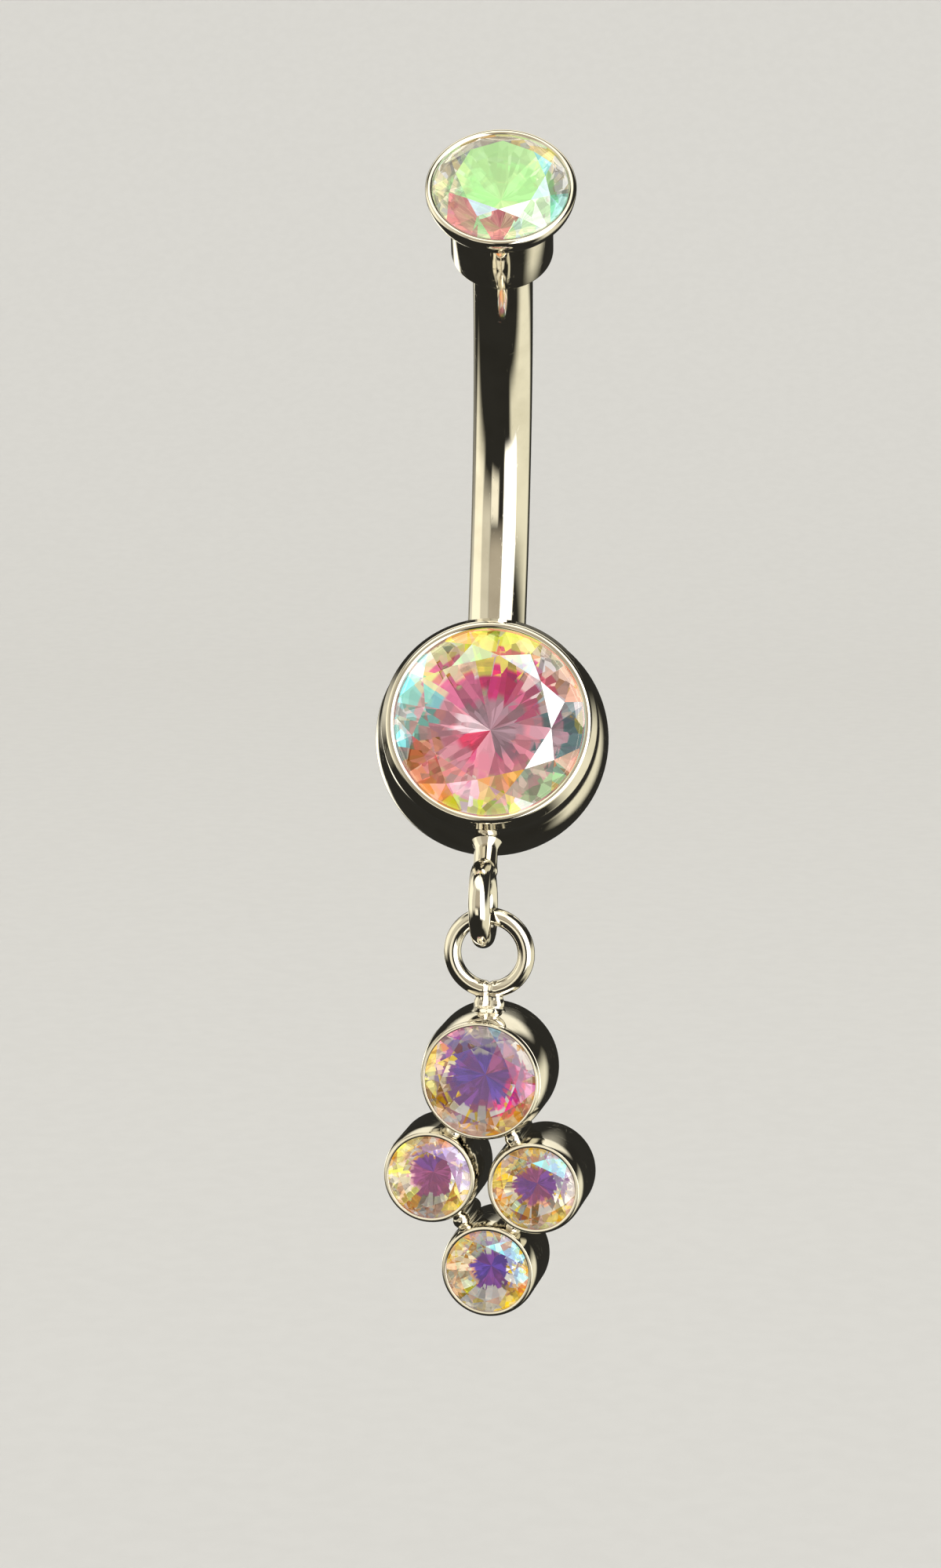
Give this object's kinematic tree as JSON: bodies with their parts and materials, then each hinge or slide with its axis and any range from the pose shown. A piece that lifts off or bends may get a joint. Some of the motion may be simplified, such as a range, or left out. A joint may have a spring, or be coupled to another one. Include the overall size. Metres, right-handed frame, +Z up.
{
  "type": "curved navel ring with a hanging four-stone drop",
  "caption": "Curved barbell navel ring with a collar-set stone on its ball, a screw-on stone top end and a hanging drop of four cup-set stones.",
  "frame": {"origin": "middle of the curved bar, on its centreline, where it sits in the piercing", "axes": "+Z up as the ring hangs, -Y towards the stones' fronts, +X to the viewer's right; the bar and ball stand tilted and leant in this frame as the picture shows them, and the drop hangs straight down"},
  "size_m": [0.0065, 0.008, 0.0323],
  "materials": {
    "polished_titanium": "mirror polish",
    "rose_stone": "cut and polished, iridescent coating",
    "green_stone": "cut and polished, iridescent coating",
    "violet_stone": "cut and polished, iridescent coating",
    "plum_stone": "cut and polished, iridescent coating",
    "indigo_stone": "cut and polished, iridescent coating"
  },
  "bodies": {
    "barbell": {"barbell": "polished_titanium", "navel_stone": "rose_stone"},
    "top_end": {"top_setting": "polished_titanium", "top_stone": "green_stone"},
    "drop": {"drop_frame": "polished_titanium", "drop_stone_upper": "violet_stone", "drop_stone_left": "plum_stone", "drop_stone_right": "plum_stone", "drop_stone_lower": "indigo_stone"}
  },
  "joints": [
    {"name": "drop_swing", "type": "hinge", "parent": "barbell", "child": "drop", "pos_m": [-0.00014, -0.00452, -0.01303], "axis": [0.9877, -0.1564, 0], "range_deg": [-120, 80]},
    {"name": "top_unscrew", "type": "slide", "parent": "barbell", "child": "top_end", "axis": [0.0164, -0.7408, 0.6715], "range_m": [0, 0.0025]}
  ]
}
